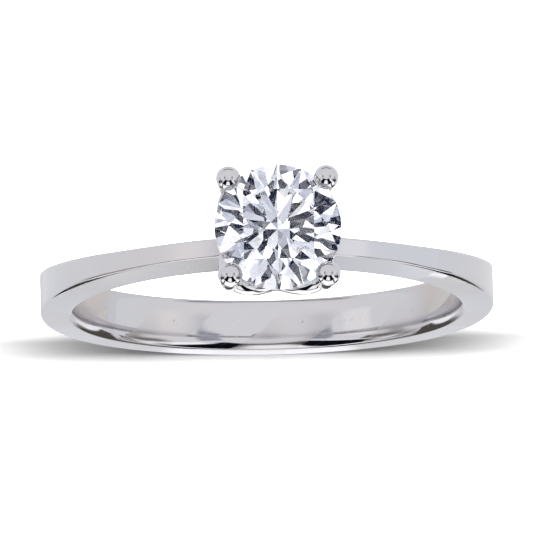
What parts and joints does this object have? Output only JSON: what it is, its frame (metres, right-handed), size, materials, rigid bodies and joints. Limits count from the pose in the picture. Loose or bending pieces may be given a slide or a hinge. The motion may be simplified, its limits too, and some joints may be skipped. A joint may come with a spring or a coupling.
{
  "type": "engagement ring",
  "caption": "Solitaire ring: a tapered shank with raised shoulders, and a claw basket with a scalloped rail that holds a round brilliant above the finger.",
  "frame": {"origin": "centre of the finger hole", "axes": "+Z from the finger hole up through the stone, Y along the finger, X across the ring"},
  "size_m": [0.0202, 0.0054, 0.026],
  "materials": {
    "white_gold": "rhodium-plated white gold, mirror polished with faint handling marks",
    "diamond": "clear faceted diamond"
  },
  "bodies": {
    "root": {"shank": "white_gold", "base_collet": "white_gold", "claw_back_right": "white_gold", "claw_back_left": "white_gold", "claw_front_left": "white_gold", "claw_front_right": "white_gold", "gallery_rail": "white_gold", "diamond": "diamond"}
  },
  "joints": []
}
